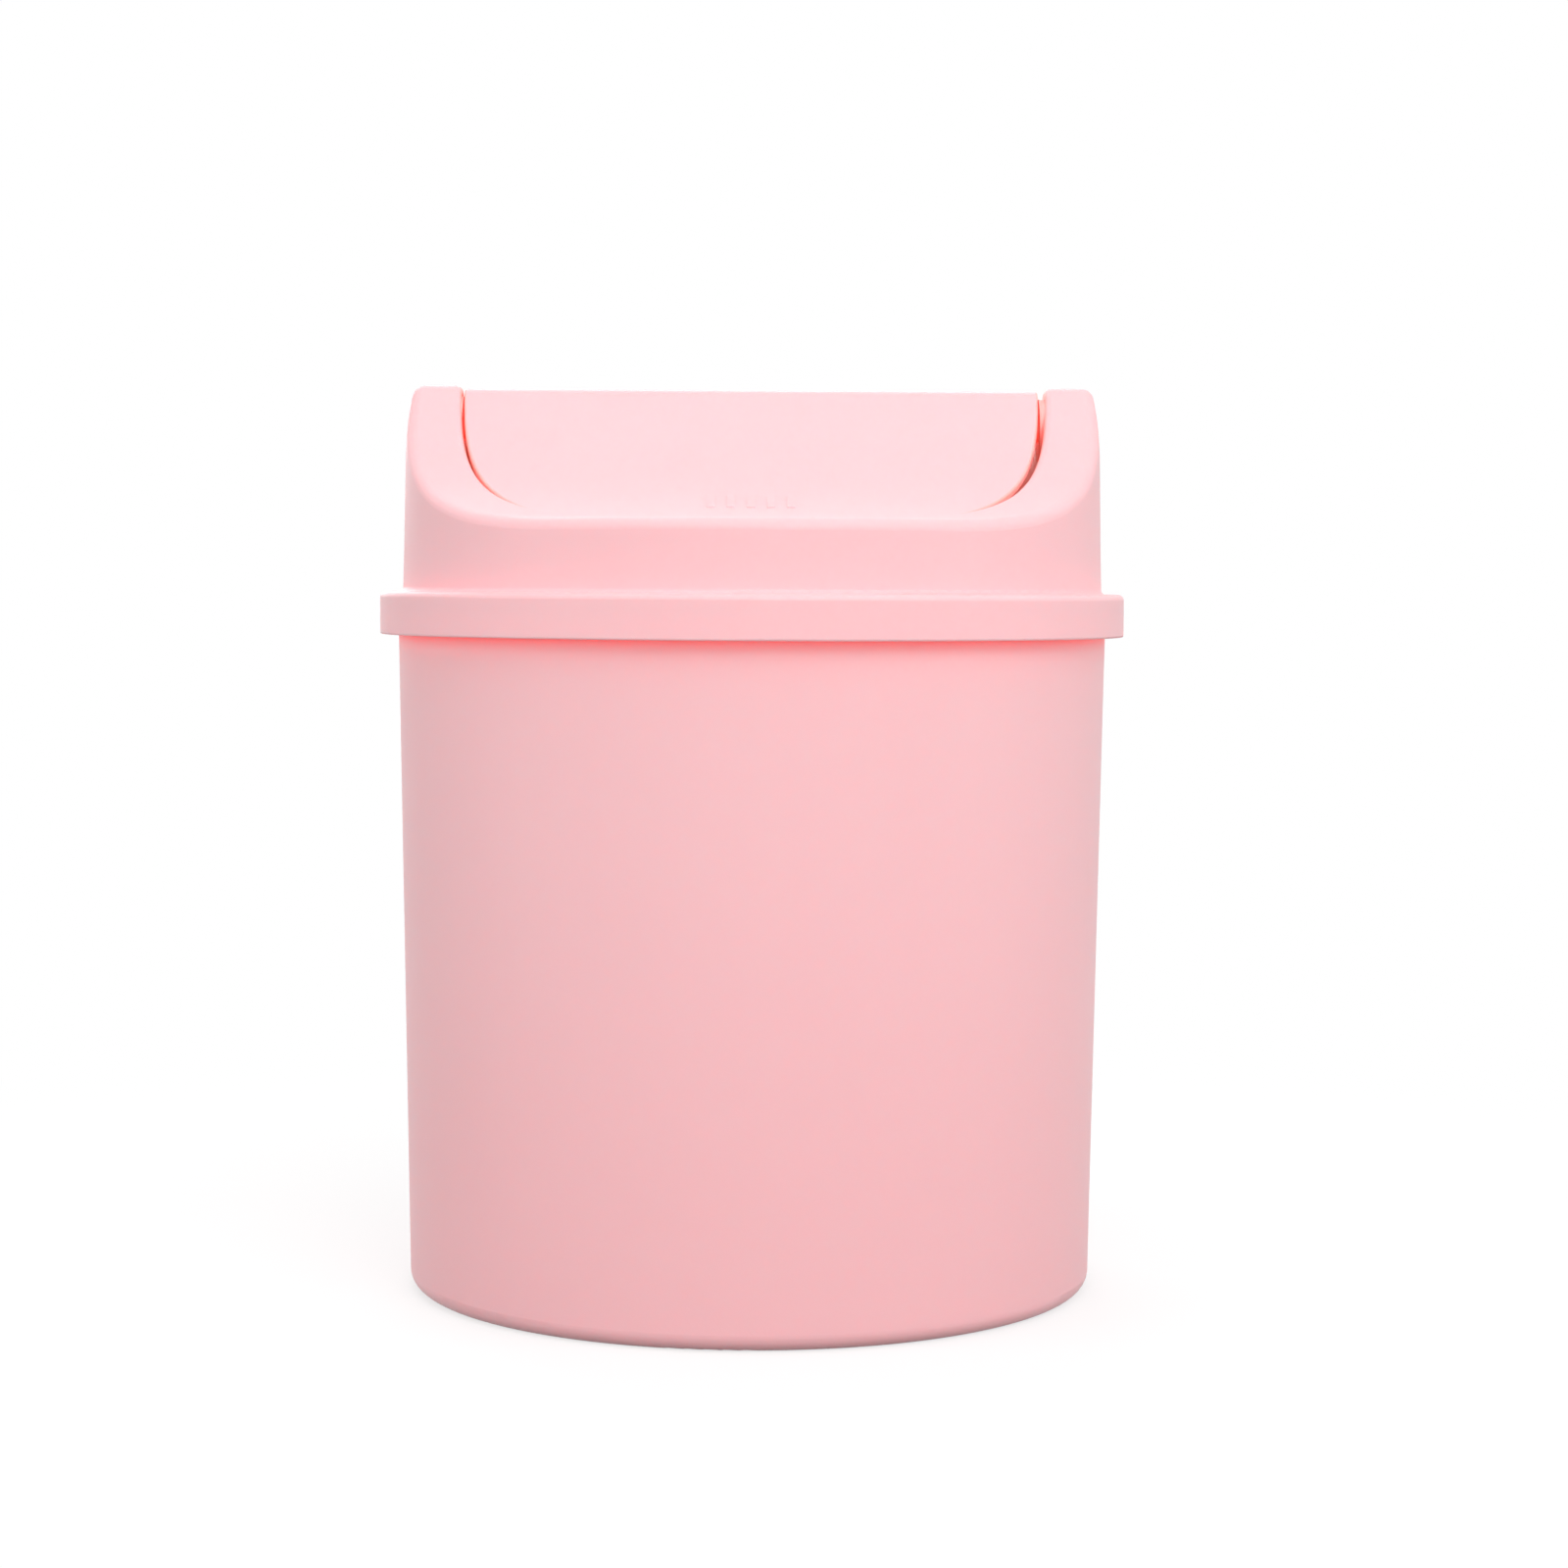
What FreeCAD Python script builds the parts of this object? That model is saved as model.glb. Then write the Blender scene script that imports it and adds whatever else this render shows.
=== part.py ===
import FreeCAD, Part
import math
import os
import Sketcher

# A small round desk bin with a lift-off lid and a flap that swings both ways.
# Millimetres, +Z up. The origin is the middle of the circle that the bin stands on, the front is towards -Y,
# and the flap turns about an axis along X.

# Driving sizes, each of which can be set by itself
SIZES = {
    # Bucket
    "bucket_height": 122.0,
    "bucket_taper": 2.05,
    "bucket_wall": 1.5,
    "floor_thickness": 1.8,
    "foot_height": 1.2,
    "foot_width": 3.0,
    "base_round": 3.0,
    "floor_round": 2.5,
    "rim_lip": 1.4,
    "rim_depth": 2.2,
    "rim_round": 0.6,
    "gate_radius": 2.4,
    "gate_depth": 0.4,
    # Collar of the lid, and the skirt that locates it inside the rim
    "collar_radius": 66.0,
    "collar_height": 7.5,
    "collar_wall": 1.4,
    "collar_round": 1.1,
    "collar_lip_round": 0.35,
    "collar_root_round": 0.8,
    "rim_clearance": 0.4,
    "plug_depth": 5.0,
    "plug_wall": 1.3,
    "plug_clearance": 0.4,
    # Hood of the lid: a drafted wall that leans in at its top, under a saddle from a level ledge to a crest along X
    "collar_overhang": 4.0,
    "lid_draft": 0.55,
    "shoulder_drop": 9.5,
    "shoulder_lean": 1.2,
    "shoulder_round": 90.0,
    "lid_wall": 1.5,
    "front_wall_height": 12.3,
    "ear_rise": 24.2,
    "crest_round": 4.0,
    "ledge_depth": 10.9,
    "saddle_edge_round": 2.1,
    # Opening of the lid, with its curtain wall, pivot bosses and the hubs that keep the flap in the middle
    "ring_width": 10.4,
    "opening_edge_round": 0.5,
    "ear_edge_round": 1.2,
    "curtain_wall": 1.4,
    "curtain_depth": 4.0,
    "pivot_drop": 7.5,
    "boss_radius": 3.8,
    "boss_length": 3.2,
    "hub_radius": 5.6,
    "hub_clearance": 0.15,
    # Flap with its cheeks and pivot pins
    "flap_gap": 0.76,
    "flap_shift": -0.36,
    "flap_sink": 0.6,
    "flap_wall": 1.6,
    "flap_edge_round": 0.4,
    "flap_edge_chamfer": 0.7,
    "cheek_radius": 4.0,
    "cheek_wall": 2.2,
    "cheek_inset": 0.6,
    "pin_radius": 2.0,
    "pin_clearance": 0.06,
    "pin_tip": 0.6,
    "pin_end_clearance": 0.5,
    # Raised push mark on the front of the flap: a row of short upright bars
    "mark_height": 0.25,
    "mark_inset": 20.8,
    "mark_length": 6.0,
    "bar_width": 1.3,
    "bar_pitch": 3.4,
    # Length by which a cutting shape passes the face that it cuts
    "overrun": 2.0,
}
BAR_COUNT = 5
CURVE_TOLERANCE = 0.01

# The two ends of the pivot axis: the sign of a place there, and the way that points outwards
SIDES = {"right": ("", 1), "left": ("-", -1)}

# Saddle surfaces, each by its crest's radius and centre and its ledge
LID_SADDLE = ("crest_round", "crest_centre", "ledge")
LID_UNDER_SADDLE = ("under_crest_round", "crest_centre", "under_ledge")
FLAP_SADDLE = ("crest_round", "flap_crest_centre", "flap_ledge")
FLAP_UNDER_SADDLE = ("flap_under_crest_round", "flap_crest_centre", "flap_under_ledge")
MARK_SADDLE = ("mark_crest_round", "flap_crest_centre", "mark_ledge")

# Sizes and places that follow from the driving ones
DERIVED = {
    "collar_inner_radius": "collar_radius - collar_wall",
    "rim_radius": "collar_inner_radius - rim_clearance",
    "bucket_neck_radius": "rim_radius - rim_lip",
    "bucket_base_radius": "bucket_neck_radius - bucket_taper",
    "floor_top": "foot_height + floor_thickness",
    "foot_outer_radius": "bucket_base_radius - base_round",
    "foot_inner_radius": "foot_outer_radius - foot_width",
    "gate_top": "foot_height + gate_depth",
    "bucket_inner_base_radius": "bucket_base_radius - bucket_wall",
    "bucket_inner_neck_radius": "bucket_neck_radius - bucket_wall",
    "rim_under": "bucket_height - rim_depth",
    "collar_top": "bucket_height + lid_wall",
    "collar_bottom": "collar_top - collar_height",
    "plug_radius": "bucket_inner_neck_radius - plug_clearance",
    "plug_inner_radius": "plug_radius - plug_wall",
    "plug_bottom": "bucket_height - plug_depth",
    "core_bottom": "plug_bottom - overrun",
    "lid_foot_radius": "collar_radius - collar_overhang",
    "lid_shoulder_radius": "lid_foot_radius - lid_draft",
    "lid_crest_radius": "lid_shoulder_radius - shoulder_lean",
    "lid_inner_foot_radius": "lid_foot_radius - lid_wall",
    "lid_inner_crest_radius": "lid_crest_radius - lid_wall",
    "ledge": "collar_top + front_wall_height",
    "crest": "ledge + ear_rise",
    "shoulder": "crest - shoulder_drop",
    "crest_centre": "crest - crest_round",
    "valley_span": "lid_foot_radius - ledge_depth",
    "under_crest_round": "crest_round - lid_wall",
    "under_ledge": "ledge - lid_wall",
    "saddle_reach": "collar_radius + overrun",
    "saddle_length": "2 * saddle_reach",
    "opening_radius": "lid_foot_radius - ring_width",
    "curtain_radius": "opening_radius + curtain_wall",
    "curtain_bottom": "ledge - curtain_depth",
    "curtain_height": "crest + overrun - curtain_bottom",
    "opening_height": "crest + overrun - core_bottom",
    "pivot": "crest - pivot_drop",
    "boss_start": "opening_radius + curtain_wall / 2",
    "boss_end": "curtain_radius + boss_length",
    "boss_span": "boss_end - boss_start",
    "bore_radius": "pin_radius + pin_clearance",
    "bore_end": "boss_end + overrun / 2",
    "bore_length": "2 * bore_end",
    "flap_radius": "opening_radius - flap_gap",
    "hub_right": "flap_radius + flap_shift + hub_clearance",
    "hub_left": "flap_radius - flap_shift + hub_clearance",
    "flap_height": "crest + overrun - curtain_bottom",
    "flap_crest_centre": "crest_centre - flap_sink",
    "flap_ledge": "ledge - flap_sink",
    "flap_under_crest_round": "crest_round - flap_wall",
    "flap_under_ledge": "flap_ledge - flap_wall",
    "cheek_outer": "flap_radius - cheek_inset",
    "cheek_inner": "cheek_outer - cheek_wall",
    "cheek_width": "2 * cheek_radius",
    "cheek_rise": "crest - flap_sink - pivot",
    "pin_end": "boss_end - pin_end_clearance",
    "pin_tip_start": "pin_end - pin_tip",
    "pin_length": "pin_tip_start - cheek_inner",
    "pin_tip_radius": "pin_radius - pin_tip",
    "mark_crest_round": "crest_round + mark_height",
    "mark_ledge": "flap_ledge + mark_height",
    "mark_front": "mark_inset - flap_radius - mark_length / 2",
    "mark_bottom": "flap_under_ledge",
    "mark_span": "crest - mark_bottom",
}

doc = FreeCAD.newDocument("swing_bin")
sheet = doc.addObject("Spreadsheet::Sheet", "sizes")


def fill_sheet():
    """Writes every size to a row of the sheet: its name, then the aliased cell with its number or formula."""
    rows = [(name, str(number)) for name, number in SIZES.items()]
    rows += [(name, "=" + formula) for name, formula in DERIVED.items()]
    for row, (name, content) in enumerate(rows, 1):
        sheet.set("A%d" % row, name)
        sheet.set("B%d" % row, content)
        sheet.setAlias("B%d" % row, name)
    doc.recompute()


def size(name):
    """The present value of a size in the sheet."""
    return float(sheet.get(name))


def bind(item, bindings):
    """Ties properties of an object to expressions in the sheet's sizes."""
    for path, expression in bindings.items():
        item.setExpression(path, expression)


def origin_plane(body, role):
    """The body's own origin plane of that role."""
    return next(plane for plane in body.Origin.OriginFeatures if plane.Role == role)


def new_sketch(body, role):
    """An empty sketch on one of the body's origin planes."""
    sketch = body.newObject("Sketcher::SketchObject", body.Name + "_outline")
    sketch.AttachmentSupport = [(origin_plane(body, role), "")]
    sketch.MapMode = "FlatFace"
    return sketch


def hold(sketch, kind, element, point, expression, start):
    """Holds a point of a sketch at a bound distance from the sketch's origin."""
    index = sketch.addConstraint(Sketcher.Constraint(kind, -1, 1, element, point, start))
    sketch.setExpression("Constraints[%d]" % index, expression)


def turned(name, corners):
    """A body turned about Z from a closed outline, given as corners of named radius and height, or zero."""
    body = doc.addObject("PartDesign::Body", name)
    sketch = new_sketch(body, "XZ_Plane")
    places = []
    for radius, height in corners:
        places.append(FreeCAD.Vector(size(radius) if radius else 0, size(height) if height else 0, 0))
    for index, place in enumerate(places):
        sketch.addGeometry(Part.LineSegment(place, places[(index + 1) % len(places)]), False)
    for index, (radius, height) in enumerate(corners):
        sketch.addConstraint(Sketcher.Constraint("Coincident", index, 2, (index + 1) % len(corners), 1))
        if radius:
            hold(sketch, "DistanceX", index, 1, "sizes." + radius, size(radius))
        else:
            sketch.addConstraint(Sketcher.Constraint("PointOnObject", index, 1, -2))
        if height:
            hold(sketch, "DistanceY", index, 1, "sizes." + height, size(height))
        else:
            sketch.addConstraint(Sketcher.Constraint("PointOnObject", index, 1, -1))
    revolution = body.newObject("PartDesign::Revolution", name + "_turn")
    revolution.Profile = sketch
    revolution.ReferenceAxis = (sketch, ["V_Axis"])
    revolution.Angle = 360
    return body


def saddle_height(across, crest_round, crest_centre, ledge):
    """Height of a saddle surface at a distance from its crest line, with its parts given as named sizes."""
    across = abs(across)
    span = size("valley_span")
    rounding = size(crest_round)
    rise = size(crest_centre) - size(ledge)
    valley = (span ** 2 + rise ** 2 - rounding ** 2) / (2 * (rounding + rise))
    if across >= span:
        return size(ledge)
    if across <= rounding * span / (valley + rounding):
        return size(crest_centre) + math.sqrt(rounding ** 2 - across ** 2)
    return size(ledge) + valley - math.sqrt(valley ** 2 - (span - across) ** 2)


def saddle(name, crest_round, crest_centre, ledge):
    """A bar along X filled up to the saddle surface: level ledges, hollow valleys and a rounded crest."""
    body = doc.addObject("PartDesign::Body", name)
    sketch = new_sketch(body, "YZ_Plane")
    reach, floor, level = size("saddle_reach"), size("core_bottom"), size(ledge)
    span, rounding, centre = size("valley_span"), size(crest_round), size(crest_centre)
    rise = centre - level
    valley = (span ** 2 + rise ** 2 - rounding ** 2) / (2 * (rounding + rise))
    lean = math.atan2(level + valley - centre, span)
    quarter = math.pi / 2
    upright = FreeCAD.Vector(0, 0, 1)

    def line(start, end):
        sketch.addGeometry(Part.LineSegment(FreeCAD.Vector(*start, 0), FreeCAD.Vector(*end, 0)), False)

    def arc(middle, radius, start, end):
        circle = Part.Circle(FreeCAD.Vector(*middle, 0), upright, radius)
        sketch.addGeometry(Part.ArcOfCircle(circle, start, end), False)

    line((-reach, floor), (reach, floor))
    line((reach, floor), (reach, level))
    line((reach, level), (span, level))
    arc((span, level + valley), valley, math.pi + lean, math.pi + quarter)
    arc((0, centre), rounding, lean, math.pi - lean)
    arc((-span, level + valley), valley, math.pi + quarter, 2 * math.pi - lean)
    line((-span, level), (-reach, level))
    line((-reach, level), (-reach, floor))
    for first, first_end, second, second_end in ((0, 2, 1, 1), (1, 2, 2, 1), (6, 2, 7, 1), (7, 2, 0, 1)):
        sketch.addConstraint(Sketcher.Constraint("Coincident", first, first_end, second, second_end))
    for first, first_end, second, second_end in ((2, 2, 3, 2), (3, 1, 4, 1), (4, 2, 5, 2), (5, 1, 6, 1)):
        sketch.addConstraint(Sketcher.Constraint("Tangent", first, first_end, second, second_end))
    for element in (0, 2, 6):
        sketch.addConstraint(Sketcher.Constraint("Horizontal", element))
    for element in (1, 7):
        sketch.addConstraint(Sketcher.Constraint("Vertical", element))
    hold(sketch, "DistanceX", 0, 1, "-sizes.saddle_reach", -reach)
    hold(sketch, "DistanceX", 0, 2, "sizes.saddle_reach", reach)
    hold(sketch, "DistanceY", 0, 1, "sizes.core_bottom", floor)
    hold(sketch, "DistanceY", 2, 1, "sizes." + ledge, level)
    hold(sketch, "DistanceY", 6, 2, "sizes." + ledge, level)
    hold(sketch, "DistanceX", 3, 3, "sizes.valley_span", span)
    hold(sketch, "DistanceX", 5, 3, "-sizes.valley_span", -span)
    sketch.addConstraint(Sketcher.Constraint("PointOnObject", 4, 3, -2))
    hold(sketch, "DistanceY", 4, 3, "sizes." + crest_centre, centre)
    radius = sketch.addConstraint(Sketcher.Constraint("Radius", 4, rounding))
    sketch.setExpression("Constraints[%d]" % radius, "sizes." + crest_round)
    pad = body.newObject("PartDesign::Pad", name + "_pad")
    pad.Profile = sketch
    pad.SideType = "Symmetric"
    bind(pad, {"Length": "sizes.saddle_length"})
    return body


def upright_cylinder(name, radius, height, bottom, shift="0"):
    """A cylinder along Z that stands at a bound height, and may be shifted along X."""
    item = doc.addObject("Part::Cylinder", name)
    bind(item, {"Radius": radius, "Height": height, "Placement.Base.z": bottom, "Placement.Base.x": shift})
    return item


def on_pivot(kind, name, way, start, bindings):
    """A cylinder or cone on the pivot axis, from a bound start along X, outwards on the side that way gives."""
    item = doc.addObject("Part::" + kind, name)
    item.Placement.Rotation = FreeCAD.Rotation(FreeCAD.Vector(0, way, 0), 90)
    bind(item, bindings)
    bind(item, {"Placement.Base.x": start, "Placement.Base.z": "sizes.pivot"})
    return item


def combine(kind, name, base, tool):
    """A boolean of two objects: Cut or Common."""
    item = doc.addObject("Part::" + kind, name)
    item.Base = base
    item.Tool = tool
    return item


def fuse(name, items):
    """One object of several that overlap."""
    item = doc.addObject("Part::MultiFuse", name)
    item.Shapes = items
    item.Refine = True
    return item


def edge_middle(edge):
    """The point at the middle of an edge's own range."""
    return edge.valueAt((edge.FirstParameter + edge.LastParameter) / 2)


def agree(first, second):
    """Whether two lengths are the same within the tolerance of the curves where faces meet."""
    return math.isclose(first, second, abs_tol=CURVE_TOLERANCE)


def ring(radius, height):
    """A test for the circular edges about Z that have a named radius and height, or zero height."""
    def test(edge):
        place = edge_middle(edge)
        level = size(height) if height else 0
        return agree(math.hypot(place.x, place.y), size(radius)) and agree(place.z, level)
    return test


def wall_top(edge):
    """A test for the curved edge where the hood's wall meets the saddle."""
    if edge.Curve.TypeId == "Part::GeomLine":
        return False
    above = edge_middle(edge).z - size("ledge")
    level = edge.BoundBox.ZLength < CURVE_TOLERANCE
    return agree(above, 0) if level else above > 0


def round_cut(radius, shift, surface):
    """A test for the curved edge where an upright cylinder meets a saddle surface."""
    def test(edge):
        place = edge_middle(edge)
        if edge.Curve.TypeId == "Part::GeomLine":
            return False
        on_wall = agree(math.hypot(place.x - shift, place.y), size(radius))
        return on_wall and agree(place.z, saddle_height(place.y, *surface))
    return test


def picked_edges(shape, test):
    """The numbers of the shape's edges that a test picks."""
    numbers = [number for number, edge in enumerate(shape.Edges, 1) if test(edge)]
    if not numbers:
        raise RuntimeError("no edge to soften")
    return numbers


def round_in_body(body, test, radius):
    """Rounds the edges of a body that a test picks, with a bound radius."""
    doc.recompute()
    base = body.Tip
    numbers = picked_edges(base.Shape, test)
    fillet = body.newObject("PartDesign::Fillet", body.Name + "_" + radius)
    fillet.Base = (base, ["Edge%d" % number for number in numbers])
    bind(fillet, {"Radius": "sizes." + radius})


def soften(kind, name, base, test, width):
    """Fillets or chamfers the edges of an object that a test picks."""
    doc.recompute()
    item = doc.addObject("Part::" + kind, name)
    item.Base = base
    item.Edges = [(number, size(width), size(width)) for number in picked_edges(base.Shape, test)]
    return item


def round_mouth(base):
    """Rounds the edge of the lid's opening, widely over the ears and finely along the ledges."""
    doc.recompute()
    item = doc.addObject("Part::Fillet", "lid_mouth_rounded")
    item.Base = base
    halfway = (size("ledge") + size("crest")) / 2
    edges = []
    for number in picked_edges(base.Shape, round_cut("opening_radius", 0, LID_SADDLE)):
        edge = base.Shape.Edges[number - 1]
        ends = [edge.valueAt(edge.FirstParameter), edge.valueAt(edge.LastParameter)]
        radii = [size("ear_edge_round" if end.z > halfway else "opening_edge_round") for end in ends]
        edges.append((number, *radii))
    item.Edges = edges
    return item


def make_bucket():
    """The bin itself: a drafted wall with a rim lip, on a floor with a foot ring and a gate mark."""
    body = turned("bucket", [
        ("", "gate_top"),
        ("gate_radius", "gate_top"),
        ("gate_radius", "foot_height"),
        ("foot_inner_radius", "foot_height"),
        ("foot_inner_radius", ""),
        ("bucket_base_radius", ""),
        ("bucket_neck_radius", "rim_under"),
        ("rim_radius", "rim_under"),
        ("rim_radius", "bucket_height"),
        ("bucket_inner_neck_radius", "bucket_height"),
        ("bucket_inner_base_radius", "floor_top"),
        ("", "floor_top"),
    ])
    round_in_body(body, ring("bucket_base_radius", ""), "base_round")
    round_in_body(body, ring("bucket_inner_base_radius", "floor_top"), "floor_round")
    round_in_body(body, ring("rim_radius", "bucket_height"), "rim_round")
    return body


def make_lid_block():
    """The lid before it is hollowed: collar, channel for the rim, locating skirt and hood."""
    body = turned("lid_block", [
        ("", "plug_bottom"),
        ("plug_radius", "plug_bottom"),
        ("plug_radius", "bucket_height"),
        ("collar_inner_radius", "bucket_height"),
        ("collar_inner_radius", "collar_bottom"),
        ("collar_radius", "collar_bottom"),
        ("collar_radius", "collar_top"),
        ("lid_foot_radius", "collar_top"),
        ("lid_shoulder_radius", "shoulder"),
        ("lid_crest_radius", "crest"),
        ("", "crest"),
    ])
    round_in_body(body, ring("lid_shoulder_radius", "shoulder"), "shoulder_round")
    round_in_body(body, ring("collar_radius", "collar_top"), "collar_round")
    round_in_body(body, ring("lid_foot_radius", "collar_top"), "collar_root_round")
    round_in_body(body, ring("collar_radius", "collar_bottom"), "collar_lip_round")
    shaped = combine("Common", "lid_shaped", body, saddle("lid_saddle", *LID_SADDLE))
    return soften("Fillet", "lid_rounded", shaped, wall_top, "saddle_edge_round")


def make_lid_hollow():
    """The space inside the lid, up to the underside of its skin and round the outside of its curtain wall."""
    core = turned("lid_core", [
        ("", "core_bottom"),
        ("plug_inner_radius", "core_bottom"),
        ("plug_inner_radius", "collar_top"),
        ("lid_inner_foot_radius", "collar_top"),
        ("lid_inner_crest_radius", "crest"),
        ("", "crest"),
    ])
    under = combine("Common", "lid_under", core, saddle("lid_under_saddle", *LID_UNDER_SADDLE))
    curtain = upright_cylinder("curtain", "sizes.curtain_radius", "sizes.curtain_height", "sizes.curtain_bottom")
    return combine("Cut", "lid_hollow", under, curtain)


def make_lid_frame():
    """The lift-off lid with its round opening, and a bored boss and hub in each ear."""
    shell = combine("Cut", "lid_shell", make_lid_block(), make_lid_hollow())
    mouth = upright_cylinder("mouth", "sizes.opening_radius", "sizes.opening_height", "sizes.core_bottom")
    opened = combine("Cut", "lid_opened", shell, mouth)
    pieces = [round_mouth(opened)]
    for side, (sign, way) in SIDES.items():
        pieces.append(on_pivot("Cylinder", "boss_" + side, way, sign + "sizes.boss_start",
                               {"Radius": "sizes.boss_radius", "Height": "sizes.boss_span"}))
        hub = "sizes.hub_" + side
        pieces.append(on_pivot("Cylinder", "hub_" + side, way, sign + hub,
                               {"Radius": "sizes.hub_radius", "Height": "sizes.boss_start - " + hub}))
    bore = on_pivot("Cylinder", "pivot_bore", 1, "-sizes.bore_end",
                    {"Radius": "sizes.bore_radius", "Height": "sizes.bore_length"})
    lid = combine("Cut", "lid", fuse("lid_with_bosses", pieces), bore)
    lid.Label = "lid_frame"
    return lid


def make_flap_skin(under):
    """The tent-shaped skin of the flap, round in plan, with a chamfer below so that its edge swings clear."""
    disc = upright_cylinder("flap_disc", "sizes.flap_radius", "sizes.flap_height", "sizes.curtain_bottom",
                            "sizes.flap_shift")
    block = combine("Common", "flap_block", disc, saddle("flap_saddle", *FLAP_SADDLE))
    skin = combine("Cut", "flap_skin", block, under)
    shift = size("flap_shift")
    chamfered = soften("Chamfer", "flap_chamfered", skin, round_cut("flap_radius", shift, FLAP_UNDER_SADDLE),
                       "flap_edge_chamfer")
    return soften("Fillet", "flap_rounded", chamfered, round_cut("flap_radius", shift, FLAP_SADDLE),
                  "flap_edge_round")


def make_pivots():
    """A cheek under each end of the flap's crest, with its stub pin."""
    cheeks, pins = [], []
    for side, (sign, way) in SIDES.items():
        root = sign + "sizes.cheek_inner + sizes.flap_shift"
        cheeks.append(on_pivot("Cylinder", "cheek_round_" + side, way, root,
                               {"Radius": "sizes.cheek_radius", "Height": "sizes.cheek_wall"}))
        web = doc.addObject("Part::Box", "cheek_web_" + side)
        edge = "sizes.cheek_inner" if way > 0 else "-sizes.cheek_outer"
        bind(web, {"Length": "sizes.cheek_wall", "Width": "sizes.cheek_width", "Height": "sizes.cheek_rise",
                   "Placement.Base.x": edge + " + sizes.flap_shift",
                   "Placement.Base.y": "-sizes.cheek_radius", "Placement.Base.z": "sizes.pivot"})
        cheeks.append(web)
        pins.append(on_pivot("Cylinder", "pin_" + side, way, root,
                             {"Radius": "sizes.pin_radius", "Height": "sizes.pin_length"}))
        pins.append(on_pivot("Cone", "pin_tip_" + side, way, sign + "sizes.pin_tip_start + sizes.flap_shift",
                             {"Radius1": "sizes.pin_radius", "Radius2": "sizes.pin_tip_radius",
                              "Height": "sizes.pin_tip"}))
    trimmed = combine("Common", "cheeks", fuse("cheek_webs", cheeks), doc.getObject("flap_saddle"))
    return [trimmed] + pins


def make_push_mark(under):
    """A row of low upright bars on the front of the flap, which follow its slope."""
    bars = []
    for index in range(BAR_COUNT):
        bar = doc.addObject("Part::Box", "bar_%d" % index)
        steps = index - (BAR_COUNT - 1) / 2
        bind(bar, {"Length": "sizes.bar_width", "Width": "sizes.mark_length", "Height": "sizes.mark_span",
                   "Placement.Base.x": "%g * sizes.bar_pitch - sizes.bar_width / 2 + sizes.flap_shift" % steps,
                   "Placement.Base.y": "sizes.mark_front", "Placement.Base.z": "sizes.mark_bottom"})
        bars.append(bar)
    row = doc.addObject("Part::Compound", "bars")
    row.Links = bars
    raised = combine("Common", "bars_raised", row, saddle("mark_saddle", *MARK_SADDLE))
    return combine("Cut", "push_mark", raised, under)


def make_swing_flap():
    """The flap with everything that is moulded on it."""
    under = saddle("flap_under_saddle", *FLAP_UNDER_SADDLE)
    flap = fuse("flap", [make_flap_skin(under)] + make_pivots() + [make_push_mark(under)])
    flap.Label = "swing_flap"
    return flap


def check(nodes):
    """Stops before anything is written if an object failed or a node isn't one sound solid."""
    doc.recompute()
    for item in doc.Objects:
        if "Invalid" in item.State or "Error" in item.State:
            raise RuntimeError("%s failed: %s" % (item.Name, item.State))
    for node in nodes:
        shape = node.Shape
        if shape.isNull() or not shape.isValid() or len(shape.Solids) != 1:
            raise RuntimeError("%s isn't one valid solid" % node.Label)


def write(nodes):
    """Writes each node to its own file, and prints its volume and box."""
    os.makedirs("parts", exist_ok=True)
    for node in nodes:
        box = node.Shape.optimalBoundingBox()
        node.Shape.exportStep(os.path.join("parts", node.Label + ".step"))
        print("%s: %.0f mm3, %.2f x %.2f x %.2f mm, top at %.2f" % (
            node.Label, node.Shape.Volume, box.XLength, box.YLength, box.ZLength, box.ZMax))


fill_sheet()
NODES = [make_bucket(), make_lid_frame(), make_swing_flap()]
check(NODES)
write(NODES)
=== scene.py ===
import math
import bpy
import bmesh
from mathutils import Matrix, Vector

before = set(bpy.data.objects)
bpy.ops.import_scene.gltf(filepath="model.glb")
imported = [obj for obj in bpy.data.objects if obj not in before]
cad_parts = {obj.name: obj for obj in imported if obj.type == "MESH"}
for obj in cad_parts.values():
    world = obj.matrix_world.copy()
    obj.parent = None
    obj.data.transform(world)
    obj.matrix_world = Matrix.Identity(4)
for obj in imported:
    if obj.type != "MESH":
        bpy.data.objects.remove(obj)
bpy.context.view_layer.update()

# Lengths are in metres and angles in radians. Colours are in linear light.
# A pair of numbers that a ramp follows says where its share is 0 and where it is 1.

# Camera, as it stood for the photograph, with image sizes in pixels
IMAGE_SIZE = 1600
FOCAL_PIXELS = 3423
AXIS_COLUMN = 766.9
CAMERA_DISTANCE = 0.600
CAMERA_HEIGHT = 0.1253
CAMERA_PITCH = 0.0599
CAMERA_ROLL = 0.0052
CAMERA_NEAREST = 0.006
SENSOR_WIDTH = 36

# Soft lamps: place, width, and power in watts
WORLD_STRENGTH = 0.60
LAMP_AIM = (0, 0, 0.09)
LAMPS = {
    "front": ((0.10, -1.20, 0.50), 0.9, 3.75),
    "front_high": ((0.35, -0.90, 0.90), 0.7, 4.55),
    "top": ((0.05, -0.20, 1.00), 0.7, 0.9),
    "left": ((-0.90, -0.35, 0.45), 0.6, 2.2),
    "right": ((0.90, -0.35, 0.45), 0.6, 1.9),
    "back": ((-0.25, 1.10, 0.60), 0.9, 6.5),
}

# Floor: what it bounces back, and what the camera sees added to that
FLOOR_GREY = (0.30, 0.30, 0.30, 1)
FLOOR_WHITENING = 0.68
FLOOR_RADIUS = 3.0
FLOOR_SEGMENTS = 96
SHADOW_REACH = (0.08, 0.30)
WHITE = (1, 1, 1, 1)
BLACK = (0, 0, 0, 1)

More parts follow.
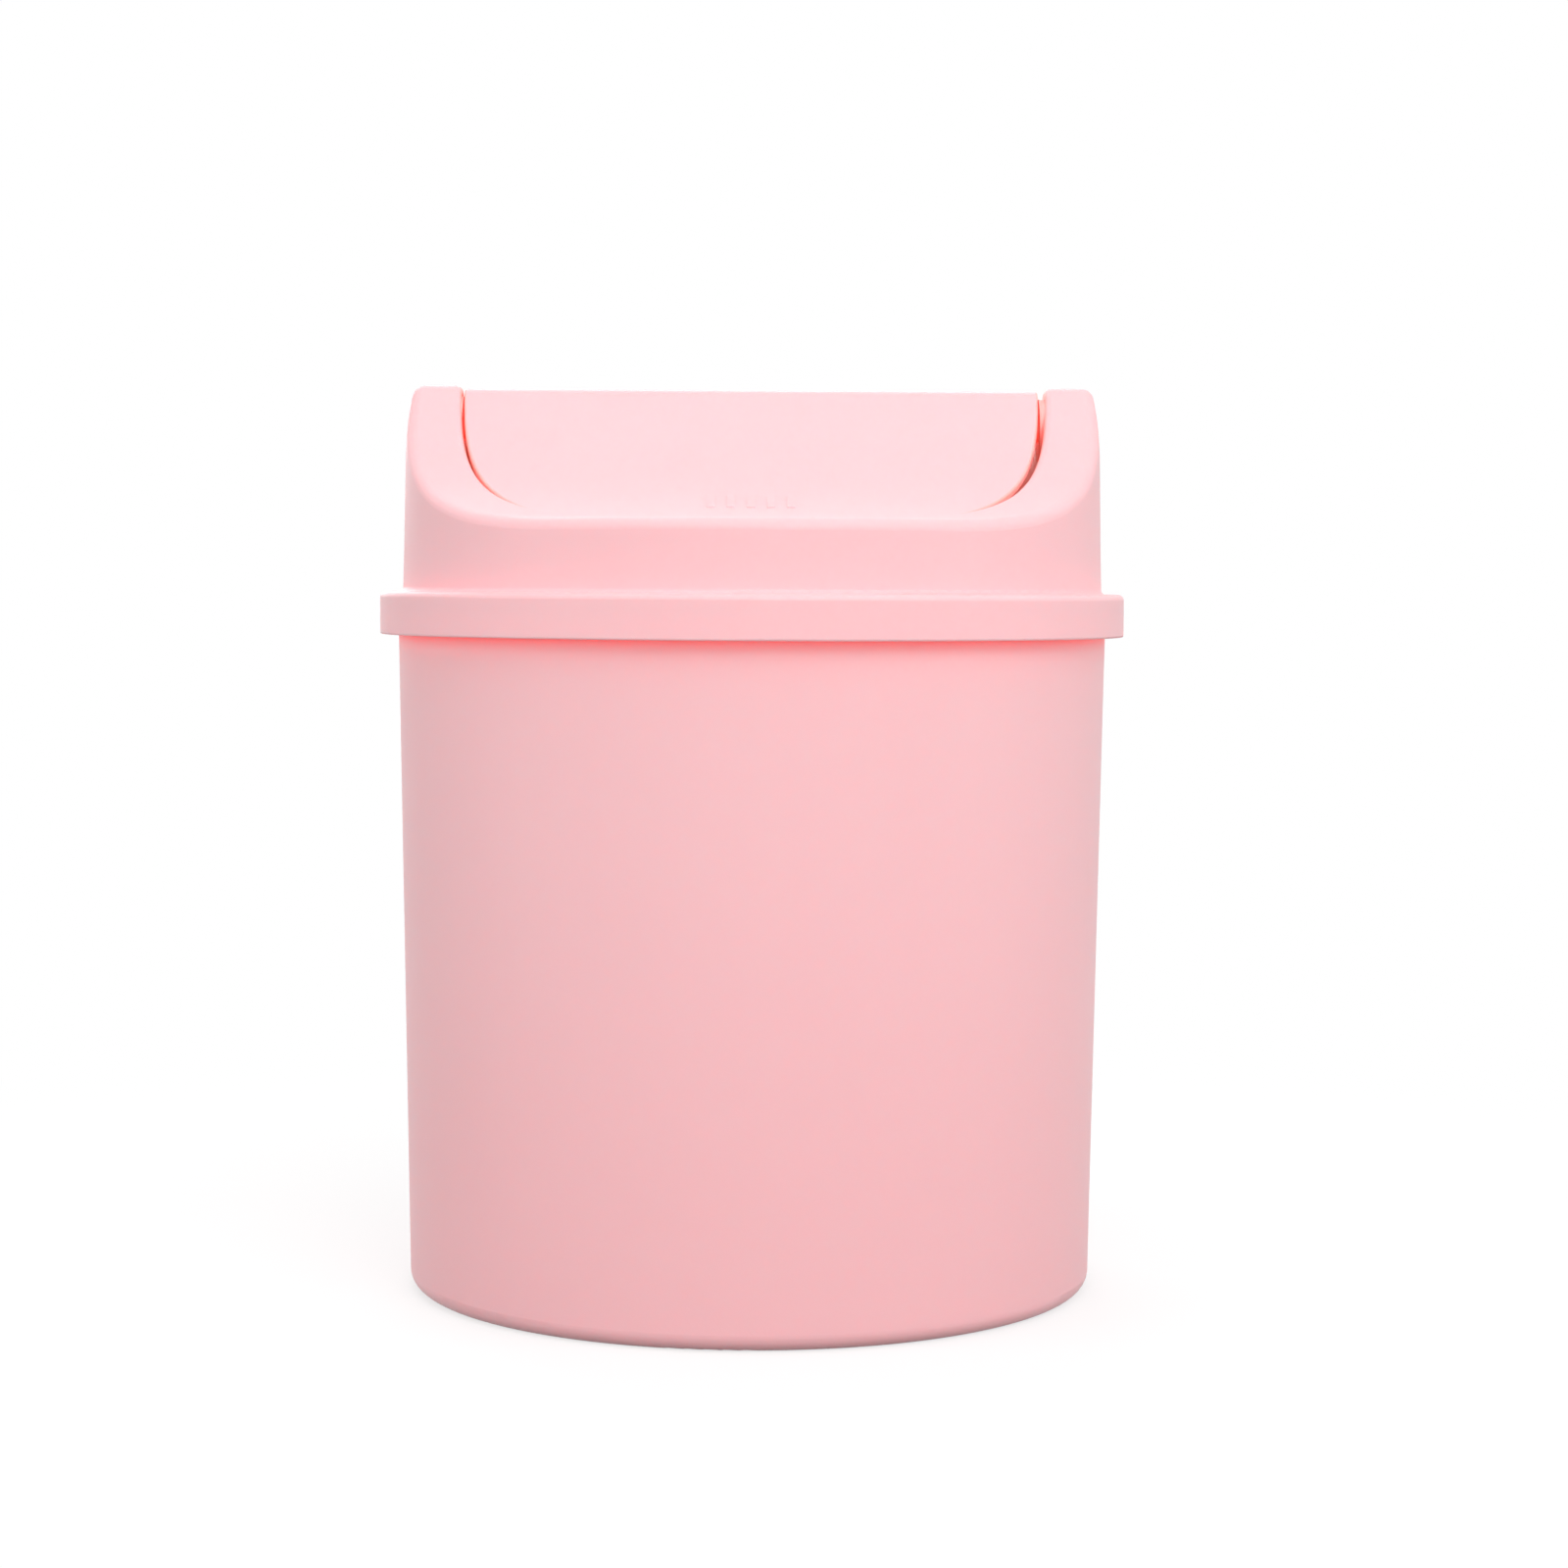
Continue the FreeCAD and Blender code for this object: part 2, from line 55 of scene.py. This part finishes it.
# Pink plastic: its two tints and its specks, then painted light: a deeper pink towards the base as painted shade, and a
# deeper pink with a painted red glow on the walls of the gaps and inside the collar, standing in for light that has
# come through the plastic
PINK = (0.985, 0.572, 0.598, 1)
PINK_DEEP = (0.975, 0.542, 0.570, 1)
# Painted shade: the pink gets deeper towards the bucket's base, where less light falls
PAINTED_BASE_SHADE = (0.968, 0.522, 0.548, 1)
# Painted shade and painted light: a deeper pink and a faint red glow on the walls of the slit around the flap and
# inside the collar
PAINTED_SHADE_PINK = (1.000, 0.470, 0.450, 1)
PAINTED_GAP_GLOW = (0.28, 0.030, 0.016, 1)
# Painted light: a strong red glow inside the lid's collar, a part that is no lamp, which lights the bucket just below
# it
PAINTED_COLLAR_GLOW = (0.95, 0.030, 0.012, 1)
SPECK = (0.700, 0.330, 0.330, 1)

# Pigment: how fine its drift and its upright flow lines are, and how much each counts
DRIFT_SCALE = 14.0
DRIFT_SHARE = 0.6
FLOW_STRETCH = (110, 110, 6)
FLOW_SHARE = 0.4

# Specks: cells to the metre, reach in cells, which cells have one, and how strong they are
SPECK_SCALE = 34.0
SPECK_REACH = (0.016, 0.008)
SPECK_CELLS = (0.60, 0.62)
SPECK_SHARE = 0.5

# Mould surface: fine grain on a slow peel, and a roughness that handling varies
GRAIN_SCALE = 1400.0
GRAIN_SHARE = 0.3
PEEL_SCALE = 170.0
RELIEF_STRENGTH = 0.05
RELIEF_DEPTH = 0.001
HANDLING_SCALE = 45.0
HANDLING_ROUGHNESS = 0.14
ROUGHNESS = 0.36
REFRACTION = 1.49
GLOSS = 0.18

# Light that goes into the plastic: how much, and how far its red, green and blue spread
SUBSURFACE_WEIGHT = 0.35
SUBSURFACE_RADIUS = (1.0, 0.25, 0.20)
SUBSURFACE_SCALE = 0.0015

# Places on the pieces that the painted shade and painted glow follow
AXIS = (0, 0, 0)
BASE_SHADE_HEIGHTS = (0.105, 0.0)
COLLAR_INNER_RADIUS = (0.0635, 0.0640)
COLLAR_OUTER_RADIUS = (0.0657, 0.0654)
COLLAR_SLOT_TOP = (0.1200, 0.1185)
MOUTH_RADIUS = (0.0522, 0.0518)
FLAP_CENTRE = (-0.00036, 0, 0)
FLAP_RIM_RADIUS = (0.0504, 0.0507)


class Wire:
    """A value in a node tree, on which Python's operators add Math nodes."""

    def __init__(self, nodes, socket):
        self.nodes = nodes
        self.socket = socket

    def math(self, operation, first, second):
        return self.nodes.node("ShaderNodeMath", {"operation": operation}, {0: first, 1: second})

    def __add__(self, other):
        return self.math("ADD", self, other)

    def __mul__(self, other):
        return self.math("MULTIPLY", self, other)

    __radd__ = __add__
    __rmul__ = __mul__

    def ramp(self, none, full):
        """A share that goes smoothly from 0 to 1 between two values."""
        return self.nodes.node("ShaderNodeMapRange", {"interpolation_type": "SMOOTHSTEP"},
                               {"Value": self, "From Min": none, "From Max": full})


class Nodes:
    """The nodes of a material or of the world."""

    def __init__(self, owner):
        owner.use_nodes = True
        self.tree = owner.node_tree
        self.tree.nodes.clear()

    def node(self, kind, settings=None, inputs=None, output=0):
        """Adds a node, sets it, fills its sockets with values or wires, and gives one of its outputs, if any."""
        node = self.tree.nodes.new(kind)
        for name, value in (settings or {}).items():
            setattr(node, name, value)
        for name, value in (inputs or {}).items():
            if isinstance(value, Wire):
                self.tree.links.new(value.socket, node.inputs[name])
            else:
                node.inputs[name].default_value = value
        return Wire(self, node.outputs[output]) if node.outputs else None

    def place(self):
        return self.node("ShaderNodeTexCoord", output="Object")

    def vector(self, operation, first, second):
        return self.node("ShaderNodeVectorMath", {"operation": operation}, {0: first, 1: second})

    def noise(self, where, scale, detail):
        return self.node("ShaderNodeTexNoise", None, {"Vector": where, "Scale": scale, "Detail": detail})

    def blend(self, share, first, second):
        """Mixes two colours by a share."""
        return self.node("ShaderNodeMix", {"data_type": "RGBA"}, {0: share, 6: first, 7: second}, 2)

    def height(self, where):
        return self.node("ShaderNodeSeparateXYZ", None, {"Vector": where}, "Z")

    def radius(self, where, centre):
        """The distance from an upright axis."""
        flat = self.vector("MULTIPLY", self.vector("SUBTRACT", where, centre), (1, 1, 0))
        return self.node("ShaderNodeVectorMath", {"operation": "LENGTH"}, {0: flat}, "Value")

    def seen(self):
        """A share of 1 for the rays that show the surroundings: the camera's, and those from gloss or through glass."""
        kinds = ("Is Camera Ray", "Is Glossy Ray", "Is Transmission Ray")
        camera, glossy, clear = [self.node("ShaderNodeLightPath", output=kind) for kind in kinds]
        return self.node("ShaderNodeMath", {"operation": "ADD", "use_clamp": True}, {0: camera + glossy, 1: clear})


def specks(nodes, where):
    """A share of 1 in a few pin-sized dots."""
    inputs = {"Vector": where, "Scale": SPECK_SCALE}
    distance = nodes.node("ShaderNodeTexVoronoi", None, inputs, "Distance")
    cell = nodes.node("ShaderNodeTexVoronoi", None, inputs, "Color")
    chosen = nodes.node("ShaderNodeSeparateColor", None, {"Color": cell}, "Red").ramp(*SPECK_CELLS)
    return distance.ramp(*SPECK_REACH) * chosen


def moulded_plastic(name, painted_light_places):
    """Satin polypropylene: drifting pigment, upright flow lines, specks, mould grain and faint handling marks, with
    painted shade and painted glow at the places given.
    """
    material = bpy.data.materials.new(name)
    nodes = Nodes(material)
    where = nodes.place()
    drift = nodes.noise(where, DRIFT_SCALE, 2.0)
    flow = nodes.noise(nodes.vector("MULTIPLY", where, FLOW_STRETCH), 1.0, 1.0)
    colour = nodes.blend(drift * DRIFT_SHARE + flow * FLOW_SHARE, PINK, PINK_DEEP)
    colour = nodes.blend(specks(nodes, where) * SPECK_SHARE, colour, SPECK)
    emission = BLACK
    # Painted shade and painted glow, laid on at each given place
    for painted_share, painted_tone, glow in painted_light_places:
        share = painted_share(nodes, where)
        colour = nodes.blend(share, colour, painted_tone)
        emission = nodes.blend(share, emission, glow)
    relief = nodes.noise(where, GRAIN_SCALE, 2.0) * GRAIN_SHARE + nodes.noise(where, PEEL_SCALE, 1.0)
    normal = nodes.node("ShaderNodeBump", None,
                        {"Strength": RELIEF_STRENGTH, "Distance": RELIEF_DEPTH, "Height": relief})
    handling = nodes.noise(where, HANDLING_SCALE, 3.0)
    shader = nodes.node("ShaderNodeBsdfPrincipled", None, {
        "Base Color": colour,
        "Roughness": ROUGHNESS + handling * HANDLING_ROUGHNESS,
        "IOR": REFRACTION,
        "Specular IOR Level": GLOSS,
        "Subsurface Weight": SUBSURFACE_WEIGHT,
        "Subsurface Radius": SUBSURFACE_RADIUS,
        "Subsurface Scale": SUBSURFACE_SCALE,
        "Emission Color": emission,
        "Emission Strength": 1.0,
        "Normal": normal,
    })
    nodes.node("ShaderNodeOutputMaterial", None, {"Surface": shader})
    return material


def painted_shade_toward_base(nodes, where):
    """The way down the bucket, along which the pink gets a little deeper, as painted shade for the light that falls off
    towards the base.
    """
    return nodes.height(where).ramp(*BASE_SHADE_HEIGHTS)


def collar_painted_glow(nodes, where):
    """The inner face and lower edge of the lid's collar, painted with a deeper pink and a strong red glow that lights
    the bucket just below it as painted light.
    """
    radius = nodes.radius(where, AXIS)
    ring = radius.ramp(*COLLAR_INNER_RADIUS) * radius.ramp(*COLLAR_OUTER_RADIUS)
    return ring * nodes.height(where).ramp(*COLLAR_SLOT_TOP)


def mouth_painted_shade_and_glow(nodes, where):
    """The wall of the lid's opening, painted with a deeper pink and a faint red glow as painted shade and painted light
    in the slit.
    """
    return nodes.radius(where, AXIS).ramp(*MOUTH_RADIUS)


def flap_rim_painted_shade_and_glow(nodes, where):
    """The edge of the flap, painted with a deeper pink and a faint red glow as painted shade and painted light in the
    slit.
    """
    return nodes.radius(where, FLAP_CENTRE).ramp(*FLAP_RIM_RADIUS)


def dress(node, material):
    """Gives a node a finish in place of its plain one."""
    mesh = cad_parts[node].data
    for index in range(len(mesh.materials)):
        mesh.materials[index] = material


def make_camera():
    """A level view from the height of the lid, a little down and rolled."""
    data = bpy.data.cameras.new("camera")
    data.sensor_fit = "HORIZONTAL"
    data.sensor_width = SENSOR_WIDTH
    data.lens = FOCAL_PIXELS * SENSOR_WIDTH / IMAGE_SIZE
    data.clip_start = CAMERA_NEAREST
    camera = bpy.data.objects.new("camera", data)
    bpy.context.scene.collection.objects.link(camera)
    yaw = math.atan((IMAGE_SIZE / 2 - AXIS_COLUMN) / FOCAL_PIXELS)
    place = Matrix.Translation((0, -CAMERA_DISTANCE, CAMERA_HEIGHT))
    turn = Matrix.Rotation(-yaw, 4, "Z") @ Matrix.Rotation(math.pi / 2 - CAMERA_PITCH, 4, "X")
    camera.matrix_world = place @ turn @ Matrix.Rotation(CAMERA_ROLL, 4, "Z")
    bpy.context.scene.camera = camera


def make_lamp(name, place, width, watts):
    """A soft square lamp that is aimed at the bin."""
    data = bpy.data.lights.new(name, "AREA")
    data.shape = "SQUARE"
    data.size = width
    data.energy = watts
    lamp = bpy.data.objects.new(name, data)
    bpy.context.scene.collection.objects.link(lamp)
    lamp.location = place
    lamp.rotation_euler = (Vector(LAMP_AIM) - Vector(place)).to_track_quat("-Z", "Y").to_euler()


def make_world():
    """Even white surroundings, which are seen as plain white."""
    world = bpy.data.worlds.new("surroundings")
    bpy.context.scene.world = world
    nodes = Nodes(world)
    strength = WORLD_STRENGTH + nodes.seen() * (1 - WORLD_STRENGTH)
    sky = nodes.node("ShaderNodeBackground", None, {"Color": WHITE, "Strength": strength})
    nodes.node("ShaderNodeOutputWorld", None, {"Surface": sky})


def make_floor():
    """A floor that is seen as white, with the bin's shadow on it."""
    mesh = bpy.data.meshes.new("floor")
    shape = bmesh.new()
    bmesh.ops.create_circle(shape, cap_ends=True, radius=FLOOR_RADIUS, segments=FLOOR_SEGMENTS)
    shape.to_mesh(mesh)
    shape.free()
    floor = bpy.data.objects.new("floor", mesh)
    bpy.context.scene.collection.objects.link(floor)
    material = bpy.data.materials.new("floor")
    nodes = Nodes(material)
    seen = nodes.seen()
    far = nodes.radius(nodes.place(), AXIS).ramp(*SHADOW_REACH)
    paper = nodes.node("ShaderNodeBsdfDiffuse", None, {"Color": FLOOR_GREY})
    whitening = nodes.node("ShaderNodeEmission", None, {"Color": WHITE, "Strength": seen * FLOOR_WHITENING})
    near = nodes.node("ShaderNodeAddShader", None, {0: paper, 1: whitening})
    plain = nodes.node("ShaderNodeEmission", None, {"Color": WHITE, "Strength": 1.0})
    shader = nodes.node("ShaderNodeMixShader", None, {0: seen * far, 1: near, 2: plain})
    nodes.node("ShaderNodeOutputMaterial", None, {"Surface": shader})
    mesh.materials.append(material)


# Painted light on each piece: painted shade towards the bucket's base, and a deeper pink with a painted glow in the
# lid's slit, on the flap's edge and inside the collar
bucket_painted_light = [(painted_shade_toward_base, PAINTED_BASE_SHADE, BLACK)]
lid_painted_light = [(mouth_painted_shade_and_glow, PAINTED_SHADE_PINK, PAINTED_GAP_GLOW), (collar_painted_glow, PAINTED_SHADE_PINK, PAINTED_COLLAR_GLOW)]
flap_painted_light = [(flap_rim_painted_shade_and_glow, PAINTED_SHADE_PINK, PAINTED_GAP_GLOW)]
dress("bucket", moulded_plastic("bucket_plastic", bucket_painted_light))
dress("lid_frame", moulded_plastic("lid_plastic", lid_painted_light))
dress("swing_flap", moulded_plastic("flap_plastic", flap_painted_light))
make_camera()
make_world()
for lamp_name, (lamp_place, lamp_width, lamp_watts) in LAMPS.items():
    make_lamp(lamp_name, lamp_place, lamp_width, lamp_watts)
make_floor()
bpy.context.scene.view_settings.view_transform = "Standard"
